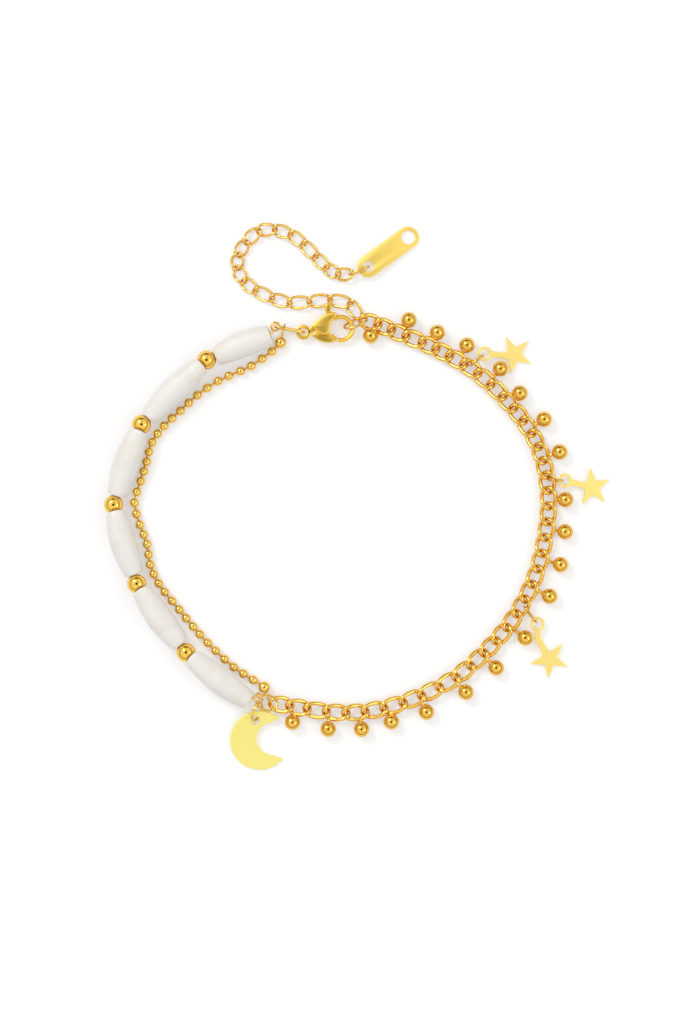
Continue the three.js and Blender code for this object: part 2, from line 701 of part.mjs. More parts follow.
// Tag at the extender's end, hung by its small hole
function tagShape() {
  const end = tagWidth / 2;
  const span = tagLength - tagWidth;
  const outline = new THREE.Shape();
  outline.absarc(span, 0, end, -Math.PI / 2, Math.PI / 2, false);
  outline.absarc(0, 0, end, Math.PI / 2, 3 * Math.PI / 2, false);
  outline.closePath();
  outline.holes.push(circleHole(0, 0, tagSmallHole), circleHole(span, 0, tagBigHole));
  return outline;
}
const tag = add('tag_plate', plateOf(tagShape()), satin);
const extenderEnd = pointOf(extenderRoute[extenderRoute.length - 1]);
layPlate(tag, pointOf(tagEye).add(extenderEnd), tagEye.heading, tagLength - tagWidth / 2);

// Lobster clasp, from its lever's pivot
function flat(points, thick, height = 0) {
  const outline = new THREE.Shape(points.map(([x, y]) => new THREE.Vector2(x, y)));
  return slab(outline, thick, height);
}

function slab(outline, thick, height = 0) {
  const geometry = new THREE.ExtrudeGeometry(outline, {
    depth: thick, bevelEnabled: false, curveSegments: 10 });
  return geometry.translate(0, 0, height - thick / 2);
}

function disc(x, y, radius, thick, height = 0) {
  return slab(new THREE.Shape().absarc(x, y, radius, 0, 2 * Math.PI, false), thick, height);
}

function bandShape(x, y, inner, outer, from, to) {
  const outline = new THREE.Shape();
  outline.absarc(x, y, outer, degToRad(from), degToRad(to), false);
  outline.absarc(x, y, inner, degToRad(to), degToRad(from), true);
  outline.closePath();
  return outline;
}

const bodyThick = leverThick + 2 * slotGap + 2 * cheekThick;
const bandOuter = hook.inner + hook.band;
const tipCutter = overlapOf(
  disc(0, 0, gateReach + gateGap, bodyThick), flat(tipCut, bodyThick));
const eyeOuter = eye.hole / 2 + eye.band;
const claspBody = fuse([
  cut(flat(heart, bodyThick), [flat(slot, leverThick + 2 * slotGap)]),
  disc(0, 0, pinDiameter / 2, bodyThick),
  cut(slab(bandShape(hook.x, hook.y, hook.inner, bandOuter, hook.tip, hook.root), hookThick),
    [tipCutter]),
  cut(fuse([
    disc(eye.x, eye.y, eyeOuter, eyeThick),
    flat(eyeNeck, eyeThick),
  ]), [disc(eye.x, eye.y, eye.hole / 2, bodyThick)]),
]);
const body = add('clasp_body', claspBody, gold);
body.position.set(clasp.x, clasp.y, clasp.z);

const nubBase = leverThick / 2 - nubSunk;
const claspLever = cut(
  overlapOf(fuse([
    flat(gate, leverThick),
    cut(flat(gate, gateEndThick), [disc(0, 0, gateReach / 2, bodyThick)]),
    disc(0, 0, leverBoss, leverThick),
    flat(tail, leverThick),
    flat(nub, nubHeight, nubBase + nubHeight / 2),
  ]), fuse([
    disc(0, 0, gateReach, 2 * bodyThick),
    flat(tailRoom, 2 * bodyThick),
  ])),
  [
    disc(0, 0, pinDiameter / 2 + pinGap, bodyThick),
    disc(hook.x, hook.y, hook.inner, bodyThick),
  ]);
const lever = add('clasp_lever', claspLever, gold);
lever.position.set(clasp.x, clasp.y, clasp.z);

export default anklet;
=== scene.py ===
import math

import bmesh
import bpy
import numpy as np
from mathutils import Matrix, Vector


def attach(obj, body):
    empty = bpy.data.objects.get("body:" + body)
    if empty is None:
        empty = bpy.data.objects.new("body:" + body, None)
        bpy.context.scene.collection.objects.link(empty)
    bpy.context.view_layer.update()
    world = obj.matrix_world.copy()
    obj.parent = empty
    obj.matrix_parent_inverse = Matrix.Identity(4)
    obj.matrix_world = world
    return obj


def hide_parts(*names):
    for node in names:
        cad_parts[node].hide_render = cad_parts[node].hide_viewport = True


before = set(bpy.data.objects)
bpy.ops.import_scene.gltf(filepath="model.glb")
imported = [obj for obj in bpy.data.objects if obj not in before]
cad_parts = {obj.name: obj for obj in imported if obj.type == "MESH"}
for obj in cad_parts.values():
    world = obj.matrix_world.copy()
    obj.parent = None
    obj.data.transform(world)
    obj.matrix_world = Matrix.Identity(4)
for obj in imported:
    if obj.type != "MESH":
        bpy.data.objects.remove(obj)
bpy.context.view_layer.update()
scene = bpy.context.scene
scene.view_settings.view_transform = "Standard"

# Studio: the anklet lies on a white sheet, seen straight from above with a long lens. The sheet
# glows a little, so that shadows stay faint. A soft box stands at the upper left, and a dark disc
# on a boom and a dark bar behind the anklet show only in what is polished.
frame_height = 0.16896
frame_centre = (-0.0028, -0.0027)
lens = 85.0
sensor = 36.0
camera_data = bpy.data.cameras.new("camera")
camera_data.lens = lens
camera_data.sensor_width = sensor
camera_data.clip_start = 0.01
camera_data.clip_end = 10.0
camera = bpy.data.objects.new("camera", camera_data)
camera_lift = 0.001
camera.location = (*frame_centre, frame_height * lens / sensor + camera_lift)
scene.collection.objects.link(camera)
scene.camera = camera


def soft_box(name, place, size, power):
    """A square light that faces the anklet."""
    lamp = bpy.data.lights.new(name, "AREA")
    lamp.shape = "SQUARE"
    lamp.size = size
    lamp.energy = power
    box = bpy.data.objects.new(name, lamp)
    box.location = place
    box.rotation_euler = (-Vector(place)).to_track_quat("-Z", "Y").to_euler()
    scene.collection.objects.link(box)


soft_box("key_light", (-0.34, 0.36, 0.50), 0.18, 1.4)
soft_box("fill_light", (0.55, -0.10, 0.50), 0.20, 0.6)

sky = bpy.data.worlds.new("sky")
sky.use_nodes = True
sky_nodes = sky.node_tree.nodes
sky_links = sky.node_tree.links
direction = sky_nodes.new("ShaderNodeTexCoord")
height = sky_nodes.new("ShaderNodeSeparateXYZ")
sky_ramp = sky_nodes.new("ShaderNodeValToRGB")
sky_stops = [(0.0, 0.50), (0.10, 0.38), (0.28, 0.64), (0.55, 1.0), (1.0, 1.04)]
while len(sky_ramp.color_ramp.elements) < len(sky_stops):
    sky_ramp.color_ramp.elements.new(0.5)
for stop, (place, shade) in zip(sky_ramp.color_ramp.elements, sky_stops):
    stop.position = place
    stop.color = (shade, shade, shade, 1)
sky_links.new(direction.outputs["Generated"], height.inputs[0])
sky_links.new(height.outputs["Z"], sky_ramp.inputs[0])
sky_links.new(sky_ramp.outputs[0], sky_nodes["Background"].inputs["Color"])
sky_strength = 1.06
sky_nodes["Background"].inputs["Strength"].default_value = sky_strength
scene.world = sky


class Flow:
    """A value, colour or vector inside a material's node tree."""

    def __init__(self, tree, socket=None):
        self.tree = tree
        self.socket = socket

    def node(self, kind, settings, sockets, output=0):
        made = self.tree.nodes.new(kind)
        for key, value in settings.items():
            if key == "stops":
                ramp = made.color_ramp
                while len(ramp.elements) < len(value):
                    ramp.elements.new(0.5)
                for element, (place, colour) in zip(ramp.elements, value):
                    element.position = place
                    element.color = (*colour, 1)
            else:
                setattr(made, key, value)
        for key, value in sockets.items():
            if isinstance(value, Flow):
                self.tree.links.new(value.socket, made.inputs[key])
            else:
                made.inputs[key].default_value = value
        return Flow(self.tree, made.outputs[output])

    def maths(self, operation, first, second):
        return self.node("ShaderNodeMath", {"operation": operation}, {0: first, 1: second})

    def __add__(self, other):
        return self.maths("ADD", self, other)

    def __radd__(self, other):
        return self.maths("ADD", other, self)

    def __sub__(self, other):
        return self.maths("SUBTRACT", self, other)

    def __rsub__(self, other):
        return self.maths("SUBTRACT", other, self)

    def __mul__(self, other):
        return self.maths("MULTIPLY", self, other)

    def __rmul__(self, other):
        return self.maths("MULTIPLY", other, self)


def new_material(name):
    """A material, its shader and a Flow to build its nodes with."""
    material = bpy.data.materials.new(name)
    material.use_nodes = True
    return material, material.node_tree.nodes["Principled BSDF"], Flow(material.node_tree)


def feed(shader, socket, flow):
    flow.tree.links.new(flow.socket, shader.inputs[socket])


def sheet_finish():
    material, shader, flow = new_material("white_sheet")
    grain = flow.node("ShaderNodeTexNoise", {}, {"Scale": 14.0, "Detail": 2.0}, "Fac")
    shade = flow.node("ShaderNodeMix", {"data_type": "RGBA"}, {
        0: grain, 6: (0.54, 0.54, 0.54, 1), 7: (0.56, 0.56, 0.56, 1)}, 2)
    feed(shader, "Base Color", shade)
    shader.inputs["Roughness"].default_value = 0.9
    shader.inputs["Specular IOR Level"].default_value = 0.1
    shader.inputs["Emission Color"].default_value = (1, 1, 1, 1)
    shader.inputs["Emission Strength"].default_value = 0.36
    return material


def flat_card(name, corners, material, seen=True):
    """A flat card of the studio. One that isn't seen shows only in what is polished."""
    mesh = bpy.data.meshes.new(name)
    mesh.from_pydata(corners, [], [list(range(len(corners)))])
    mesh.materials.append(material)
    card = bpy.data.objects.new(name, mesh)
    card.visible_camera = seen
    card.visible_diffuse = seen
    card.visible_shadow = seen
    scene.collection.objects.link(card)


sheet_half = 1.5
flat_card("sheet", [(x * sheet_half, y * sheet_half, 0) for x, y in
                    [(-1, -1), (1, -1), (1, 1), (-1, 1)]], sheet_finish())

disc_radius = 0.15
disc_height = 0.56
boom_half = 0.028
boom_reach = 0.75
boom_below_disc = 0.005
boom_turn = math.radians(68)
bar_left, bar_right = -0.30, 0.22
bar_back = 0.80
bar_low, bar_high = 0.18, 0.42
dark, dark_shader, _ = new_material("dark_stand")
dark_shader.inputs["Base Color"].default_value = (0.012, 0.008, 0.006, 1)
dark_shader.inputs["Roughness"].default_value = 1.0
disc_corners = 48
disc_edge = [(disc_radius * math.cos(turn), disc_radius * math.sin(turn))
             for turn in np.linspace(0, 2 * math.pi, disc_corners, endpoint=False)]
boom_edge = [(along * math.cos(boom_turn) - side * math.sin(boom_turn),
              along * math.sin(boom_turn) + side * math.cos(boom_turn))
             for along, side in [(0, -boom_half), (boom_reach, -boom_half),
                                 (boom_reach, boom_half), (0, boom_half)]]
for name, edge, lower in [("dark_disc", disc_edge, 0.0), ("dark_boom", boom_edge, boom_below_disc)]:
    flat_card(name, [(frame_centre[0] + x, frame_centre[1] + y, disc_height - lower)
                     for x, y in edge], dark, seen=False)
flat_card("dark_bar", [(bar_left, bar_back, bar_low), (bar_right, bar_back, bar_low),
                       (bar_right, bar_back, bar_high), (bar_left, bar_back, bar_high)],
          dark, seen=False)

# Curb chain: oval links of round gilded brass wire, each twisted almost a quarter turn so that
# the chain lies flat. Every link's end hooks through its neighbour's. The joints are soldered.
mm = 0.001
curb_wire = 0.70
curb_width = 3.0
hook_lap = 2.3
link_twist = math.radians(80)
link_squareness = 0.84
smooth_below = math.radians(38)
flat_from = 0.9999
weld_distance = 1e-7
curb_route = [
    (0.8, 28.95, 1.0, 0), (3.3, 28.3, 0.95, 1), (5.5, 27.3, 0.95, 2), (10.6, 25.3, 0.95, 4),
    (15.1, 23.1, 0.95, 6), (19.8, 20.2, 0.95, 8), (23.9, 16.4, 0.95, 10), (27.3, 12.4, 0.95, 12),
    (29.8, 8.1, 0.95, 14), (31.1, 3.4, 0.95, 16), (31.5, -1.7, 0.95, 18), (30.9, -6.9, 0.95, 20),
    (29.7, -12.1, 0.95, 22), (27.6, -17.1, 0.95, 24), (24.6, -21.8, 0.95, 26),
    (20.8, -26.0, 0.95, 28), (16.2, -30.0, 0.95, 30), (10.5, -33.0, 0.95, 32),
    (4.3, -35.1, 0.95, 34), (-2.0, -35.9, 0.95, 36), (-8.4, -35.2, 0.95, 38),
    (-14.1, -34.2, 1.2, 40),
]
upward = np.array([0.0, 0.0, 1.0])


def unit(vector):
    vector = np.asarray(vector, float)
    return vector / np.linalg.norm(vector)


def heading(degrees):
    return np.array([math.cos(math.radians(degrees)), math.sin(math.radians(degrees)), 0.0])


def on_curve(points, place):
    """A smooth curve through all points, at a place counted in points from the first."""
    points = np.asarray(points, float)
    first = min(int(place), len(points) - 2)
    share = place - first
    p1, p2 = points[first], points[first + 1]
    p0 = points[first - 1] if first > 0 else 2 * p1 - p2
    p3 = points[first + 2] if first + 2 < len(points) else 2 * p2 - p1
    d0, d1, d2 = (math.sqrt(np.linalg.norm(b - a)) for a, b in [(p0, p1), (p1, p2), (p2, p3)])
    t1 = ((p1 - p0) / d0 - (p2 - p0) / (d0 + d1) + (p2 - p1) / d1) * d1
    t2 = ((p2 - p1) / d1 - (p3 - p1) / (d1 + d2) + (p3 - p2) / d2) * d1
    return (p1 + t1 * share + (3 * (p2 - p1) - 2 * t1 - t2) * share ** 2
            + (2 * (p1 - p2) + t1 + t2) * share ** 3)


def on_route(route, number):
    """The point of a route at a link's or ball's number, which is each row's last value."""
    row = 0
    while row < len(route) - 2 and number > route[row + 1][-1]:
        row += 1
    share = (number - route[row][-1]) / (route[row + 1][-1] - route[row][-1])
    return on_curve([point[:-1] for point in route], row + share)


def links_of(route, wire):
    """The middle, direction and length of each link along a route."""
    links = []
    for number in range(route[-1][-1]):
        start, end = on_route(route, number), on_route(route, number + 1)
        length = np.linalg.norm(end - start) + hook_lap * wire
        links.append(((start + end) / 2, unit(end - start), length))
    return links


def tube(centres, ups, radius, sides=14, closed=True, flat=1.0):
    """Round wire along a line of centres. flat below 1 presses it thinner along ups."""
    centres, ups = np.asarray(centres, float), np.asarray(ups, float)
    if closed:
        tangents = np.roll(centres, -1, 0) - np.roll(centres, 1, 0)
    else:
        tangents = np.gradient(centres, axis=0)
    tangents /= np.linalg.norm(tangents, axis=1)[:, None]
    across = np.cross(tangents, ups)
    across /= np.linalg.norm(across, axis=1)[:, None]
    ups = np.cross(across, tangents)
    radii = np.broadcast_to(radius, len(centres))
    turns = np.arange(sides) * 2 * math.pi / sides
    corners = [centre + r * (flat * math.cos(turn) * up + math.sin(turn) * side)
               for centre, r, up, side in zip(centres, radii, ups, across) for turn in turns]
    count = len(centres)
    faces = [[i * sides + j, i * sides + (j + 1) % sides,
              (i + 1) % count * sides + (j + 1) % sides, (i + 1) % count * sides + j]
             for i in range(count if closed else count - 1) for j in range(sides)]
    if not closed:
        faces += [list(range(sides))[::-1], [(count - 1) * sides + j for j in range(sides)]]
    return np.array(corners), faces


def stood(points, place, along, roll=0.0):
    """Points made along +X, put at a place, turned to a direction and rolled about it."""
    along = unit(along)
    side = unit(np.cross(upward, along))
    up = np.cross(along, side)
    c, s = math.cos(roll), math.sin(roll)
    basis = np.array([along, side * c + up * s, up * c - side * s])
    return np.asarray(points) @ basis + np.asarray(place)


def wire_oval(length, width, wire, twist=0.0, squareness=1.0, steps=48, sides=14):
    """A closed oval loop of wire along X. twist turns its plane from one end to the other."""
    turns = (np.arange(steps) + 0.5) * 2 * math.pi / steps
    x = np.sign(np.cos(turns)) * np.abs(np.cos(turns)) ** squareness * (length - wire) / 2
    out = np.sign(np.sin(turns)) * np.abs(np.sin(turns)) ** squareness * (width - wire) / 2
    lean = -twist * x / (length - wire)
    centres = np.stack([x, out * np.cos(lean), out * np.sin(lean)], 1)
    ups = np.stack([0 * x, -np.sin(lean), np.cos(lean)], 1)
    return tube(centres, ups, wire / 2, sides)


def joined(shapes):
    """Several (corners, faces) shapes as one."""
    corners, faces, start = [], [], 0
    for shape_corners, shape_faces in shapes:
        corners.append(shape_corners)
        faces += [[start + index for index in face] for face in shape_faces]
        start += len(shape_corners)
    return np.concatenate(corners), faces


def make_piece(name, shape, material, nodes, body="root", plates=False):
    """A finished piece from a shape in millimetres, riding on its body in its node's place.

    The flat faces of plates are shaded flat.
    """
    corners, faces = shape
    mesh = bpy.data.meshes.new(name)
    mesh.from_pydata([tuple(corner * mm) for corner in corners], [], faces)
    skin = bmesh.new()
    skin.from_mesh(mesh)
    bmesh.ops.remove_doubles(skin, verts=skin.verts, dist=weld_distance)
    bmesh.ops.recalc_face_normals(skin, faces=skin.faces)
    skin.to_mesh(mesh)
    skin.free()
    mesh.materials.append(material)
    mesh.shade_smooth()
    mesh.set_sharp_from_angle(angle=smooth_below)
    if plates:
        facing = max(mesh.polygons, key=lambda polygon: polygon.area).normal.copy()
        for polygon in mesh.polygons:
            polygon.use_smooth = abs(polygon.normal.dot(facing)) < flat_from
    made = bpy.data.objects.new(name, mesh)
    scene.collection.objects.link(made)
    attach(made, body)
    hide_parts(*nodes)
    return made


def gilding(name, deep, bright, roughness, grain=0.04, scratch=0.0, scale=900.0):
    """Gold plating on brass: a slow change of colour, fine grain, and hair scratches."""
    material, shader, flow = new_material(name)
    place = flow.node("ShaderNodeTexCoord", {}, {}, "Object")
    cloud = flow.node("ShaderNodeTexNoise", {}, {
        "Vector": place, "Scale": scale * 0.3, "Detail": 3.0}, "Fac")
    speck = flow.node("ShaderNodeTexNoise", {}, {
        "Vector": place, "Scale": scale * 4, "Detail": 4.0, "Roughness": 0.7}, "Fac")
    colour = flow.node("ShaderNodeMix", {"data_type": "RGBA"}, {
        0: cloud, 6: (*deep, 1), 7: (*bright, 1)}, 2)
    feed(shader, "Base Color", colour)
    shader.inputs["Metallic"].default_value = 1.0
    feed(shader, "Roughness", roughness + grain * (speck - 0.5))
    stretched = flow.node("ShaderNodeMapping", {}, {
        "Vector": place, "Rotation": (0.0, 0.0, 0.6), "Scale": (1.0, 14.0, 1.0)})
    hairs = flow.node("ShaderNodeTexNoise", {}, {
        "Vector": stretched, "Scale": scale * 1.4, "Detail": 3.0}, "Fac")
    relief = hairs * scratch + speck * 0.15
    bump = flow.node("ShaderNodeBump", {}, {
        "Strength": 0.05, "Distance": 0.00002, "Height": relief}, "Normal")
    feed(shader, "Normal", bump)
    return material


curb_gold = gilding("curb_gold", (0.80, 0.46, 0.08), (0.92, 0.60, 0.14), 0.10)
curb_links = links_of(curb_route, curb_wire)
make_piece("curb_links", joined([
    (stood(corners, middle, along), faces)
    for middle, along, length in curb_links
    for corners, faces in [wire_oval(length, curb_width, curb_wire, link_twist, link_squareness)]
]), curb_gold, ["curb_chain"])

# Ball drops: round beads of brass, polished and gilded, that hang off the curb chain's sides.
# Each stands on a short peg, which is soldered to the side wire of a link.
drop_diameter = 2.6
drop_neck = 0.62
solder_spread = 0.12
solder_height = 0.3
peg_short = 0.05
ball_start = 3
ball_steps = 22
drop_places = [
    (0, 0.6, -2.2), (2, 0.8, 2.6), (4, 0.35, 2.5), (6, 0.3, 2.9), (8, 0.95, 2.95),
    (10, 0.2, 2.4), (12, 0.45, 2.95), (14, 0.75, 3.0), (17, 0.35, 2.75), (19, -0.1, 3.1),
    (21, -0.3, 3.4), (23, -0.8, 3.4), (25, 1.05, 3.4), (28, -1.3, 3.1), (30, -1.75, 2.9),
    (32, -1.4, 2.8), (33, 1.1, 2.45), (35, -0.8, 2.8), (36, 1.1, 2.8), (38, 0.55, 2.55),
]


def side_wire(link, distance, side):
    """The place on a link's side wire, at a distance along it from its middle."""
    middle, along, length = link
    share = 2 * distance / (length - curb_wire)
    out = (1 - abs(share) ** (2 / link_squareness)) ** (link_squareness / 2)
    out *= side * (curb_width - curb_wire) / 2
    lean = -link_twist * share / 2
    across = unit(np.cross(upward, along))
    return middle + along * distance + across * out * math.cos(lean) + upward * out * math.sin(lean)


def lathed(profile, place, along, sides=32):
    """A turned shape of (radius, distance) points about a line from place."""
    along = unit(along)
    side = unit(np.cross(upward if abs(along[2]) < 0.9 else heading(0), along))
    up = np.cross(along, side)
    corners = [np.asarray(place) + along * distance
               + radius * (side * math.cos(turn) + up * math.sin(turn))
               for turn in np.arange(sides) * 2 * math.pi / sides for radius, distance in profile]
    count = len(profile)
    faces = [[i * count + k, (i + 1) % sides * count + k,
              (i + 1) % sides * count + k + 1, i * count + k + 1]
             for i in range(sides) for k in range(count - 1)]
    return np.array(corners), faces


def arc(radius, centre, start, end, steps):
    """Profile points on a round: angles in degrees from the line's own direction."""
    return [(max(0.0, radius * math.sin(math.radians(turn))),
             centre - radius * math.cos(math.radians(turn)))
            for turn in np.linspace(start, end, steps)]


drops = []
for number, shift, out in drop_places:
    middle, along, length = curb_links[number]
    radius = drop_diameter / 2
    ball = middle + along * shift + unit(np.cross(upward, along)) * out
    ball[2] = radius
    root = side_wire(curb_links[number], float(np.clip(shift, -length / 4, length / 4)),
                     math.copysign(1, out))
    reach = np.linalg.norm(ball - root)
    meets = math.degrees(math.asin(drop_neck / drop_diameter))
    drops.append(lathed(
        [(0, 0), (drop_neck / 2 + solder_spread, 0), (drop_neck / 2, solder_height),
         (drop_neck / 2, reach - radius * math.cos(math.radians(meets)) - peg_short)]
        + arc(radius, reach, meets + ball_start, 180, ball_steps), root, ball - root))
drop_gold = gilding("drop_gold", (0.78, 0.43, 0.06), (0.87, 0.54, 0.11), 0.07)
make_piece("ball_drops", joined(drops), drop_gold, ["curb_chain"])

# Extender: the long catch link that the clasp holds, then light curb links of thin wire, and a
# last plain link that stands on edge through the tag's small hole.
extender_wire = 0.46
extender_width = 2.4
tag_link_width = 2.0
extender_route = [
    (0.1, 29.6, 0.62, 0), (-1.2, 31.8, 0.65, 1), (-4.6, 32.4, 0.6, 2), (-8.0, 32.0, 0.6, 3),
    (-11.3, 31.8, 0.6, 4), (-14.2, 32.6, 0.6, 5), (-16.9, 33.9, 0.6, 6), (-18.9, 35.4, 0.6, 7),
    (-20.0, 37.6, 0.6, 8), (-19.8, 39.8, 0.6, 9), (-18.5, 41.9, 0.6, 10), (-16.4, 43.8, 0.6, 11),
    (-13.7, 44.0, 0.6, 12), (-11.1, 43.2, 0.6, 13), (-9.0, 41.6, 0.6, 14), (-7.0, 39.5, 0.6, 15),
    (-5.2, 37.7, 0.6, 16), (-3.3, 36.4, 0.65, 17), (-1.1, 36.6, 0.98, 18), (1.5, 37.65, 1.17, 19),
]
catch_from = np.array([-2.25, 27.75, 1.17])
catch_to = np.array([1.5, 29.15, 1.17])
catch_wire = 0.42
catch_width = 2.66
catch_roll = math.radians(-57)

extender_links = links_of(extender_route, extender_wire)
catch_length = np.linalg.norm(catch_to - catch_from) + catch_wire
corners, faces = wire_oval(catch_length, catch_width, catch_wire)
extender_shapes = [(stood(corners, (catch_from + catch_to) / 2, catch_to - catch_from, catch_roll),
                    faces)]
for middle, along, length in extender_links[:-1]:
    corners, faces = wire_oval(length, extender_width, extender_wire, link_twist,
                               link_squareness)
    extender_shapes.append((stood(corners, middle, along), faces))
middle, along, length = extender_links[-1]
corners, faces = wire_oval(length, tag_link_width, extender_wire)
extender_shapes.append((stood(corners, middle, along, math.pi / 2), faces))
extender_gold = gilding("extender_gold", (0.80, 0.47, 0.09), (0.92, 0.61, 0.16), 0.11)
make_piece("extender_links", joined(extender_shapes), extender_gold,
           ["extender_chain"])

# Ball chain: hollow brass balls threaded on short dumb-bell rods, with a crimped cap and a wire
# loop at each end.
ball_diameter = 1.58
ball_rod = 0.46
ball_mouth = 0.62
rod_reach = 0.55
ball_sides = 24
rod_sides = 12
cap_sides = 28
cap_diameter = 2.0
cap_loop_wire = 0.34
cap_loop_height = 1.84
cap_loop_sunk = 0.15
ball_route = [
    (-14.2, 23.8, 1), (-17.6, 21.4, 3), (-23.1, 18.9, 6), (-26.5, 16.6, 8), (-29.3, 14.0, 10),
    (-32.0, 11.5, 12), (-34.0, 8.8, 14), (-34.9, 5.6, 16), (-35.85, 2.4, 18), (-36.9, -1.2, 20),
    (-36.0, -4.8, 22), (-34.8, -8.0, 24), (-34.3, -11.4, 26), (-32.9, -14.5, 28),
    (-29.5, -18.8, 31), (-26.1, -22.9, 34), (-23.5, -25.6, 36), (-20.5, -28.3, 38),
    (-17.3, -30.4, 40),
]
upper_cap = (np.array([-12.8, 25.25, cap_diameter / 2]), heading(76), 2.6)
lower_cap = (np.array([-15.47, -31.6, cap_diameter / 2]), heading(-73), 1.55)

balls = [np.array([*on_route(ball_route, number), ball_diameter / 2])
         for number in range(1, ball_route[-1][-1] + 1)]
string = [upper_cap[0], *balls, lower_cap[0]]
ball_shapes = []
mouth = math.degrees(math.asin(ball_mouth / ball_diameter))
for before, ball, after in zip(string, balls, string[2:]):
    profile = ([(ball_rod / 2, -rod_reach)] + arc(ball_diameter / 2, 0, mouth, 180 - mouth, 15)
               + [(ball_rod / 2, rod_reach), (ball_rod / 2, -rod_reach)])
    ball_shapes.append(lathed(profile, ball, after - before, ball_sides))
for start, end in zip(string, string[1:]):
    rod_length = np.linalg.norm(end - start)
    ball_shapes.append(lathed([(0, 0), (ball_rod / 2, 0), (ball_rod / 2, rod_length),
                               (0, rod_length)], start, end - start, rod_sides))
for (centre, facing, loop_length), inner in [(upper_cap, balls[0]), (lower_cap, balls[-1])]:
    ball_shapes.append(lathed(arc(cap_diameter / 2, 0, 0, 180, 19), centre, centre - inner,
                              cap_sides))
    corners, faces = wire_oval(loop_length, cap_loop_height, cap_loop_wire)
    reach = cap_diameter / 2 - cap_loop_sunk + (loop_length - cap_loop_wire) / 2
    ball_shapes.append((stood(corners, centre + facing * reach, facing, math.pi / 2), faces))
ball_gold = gilding("ball_gold", (0.84, 0.51, 0.11), (0.93, 0.63, 0.17), 0.08)
make_piece("ball_string", joined(ball_shapes), ball_gold, ["ball_chain"])

# White barrel beads: milky shell-like tubes, drilled and a little bowed, thickest at the middle.
# Each one's first end is cut aslant and leans over the gold bead before it.
barrel_diameter = 4.3
barrel_end = 3.0
barrel_bow = 0.25
barrel_lip = 0.35
rim_curve = [(-0.18, 0.0), (-0.05, 0.03), (0.0, 0.12)]
barrel_sides = 48
wall_starts = 0.02
wall_rings = 40
curve_samples = 81
barrel_fullness = 0.8
bore_diameter = 1.2
dish_diameter = 2.3
dish_depth = 0.5
spacer_height = 2.35
nest_before = 1.62
nest_after = 1.35
barrel_high = 2.9
barrel_low = 1.8
bead_start = np.array([-14.35, 26.45, 2.6])
bead_end = np.array([-18.0, -33.8, barrel_low])
spacer_places = [np.array([x, y, spacer_height]) for x, y in
                 [(-24.9, 22.3), (-35.6, 11.7), (-40.2, -1.5), (-36.4, -14.5), (-28.3, -25.8)]]


def finely(points):
    """Many points of the curve through three points."""
    return np.array([on_curve(points, place) for place in np.linspace(0, 2, curve_samples)])


def turned(profile, points, sides, lip=0.0):
    """A turned shape of (radius, distance) points carried along a curve through three points."""
    fine = finely(points)
    steps = np.linalg.norm(np.diff(fine, axis=0), axis=1)
    travelled = np.concatenate([[0], np.cumsum(steps)])
    length = travelled[-1]
    tangents = np.gradient(fine, axis=0)
    corners = []
    for turn in np.arange(sides) * 2 * math.pi / sides:
        for radius, distance in profile:
            held = min(max(distance, 0.0), length)
            centre = np.array([np.interp(held, travelled, fine[:, k]) for k in range(3)])
            along = unit([np.interp(held, travelled, tangents[:, k]) for k in range(3)])
            side = unit(np.cross(upward, along))
            down = np.cross(side, along)
            slant = lip * radius * math.cos(turn) * (1 - held / length) ** 2
            corners.append(centre + side * radius * math.sin(turn) + down * radius * math.cos(turn)
                           + along * (slant + distance - held))
    count = len(profile)
    faces = [[i * count + k, (i + 1) % sides * count + k,
              (i + 1) % sides * count + k + 1, i * count + k + 1]
             for i in range(sides) for k in range(count - 1)]
    return np.array(corners), faces


def curve_length(points):
    return float(np.linalg.norm(np.diff(finely(points), axis=0), axis=1).sum())


def barrel_profile(length):
    """Bore, dished mouth, rounded rim and swelling wall, and back through the far end."""
    end = barrel_end / 2
    swell = (barrel_diameter - barrel_end) / 2
    wall = [(end + swell * math.sin(math.pi * share) ** barrel_fullness, share * length)
            for share in np.linspace(wall_starts, 1 - wall_starts, wall_rings)]
    rim = [(end + inward, distance) for inward, distance in rim_curve]
    far_rim = [(radius, length - distance) for radius, distance in reversed(rim)]
    mouth_profile = [(bore_diameter / 2, dish_depth), (dish_diameter / 2, 0.02)]
    far_mouth = [(radius, length - distance) for radius, distance in reversed(mouth_profile)]
    return mouth_profile + rim + wall + far_rim + far_mouth + mouth_profile[:1]


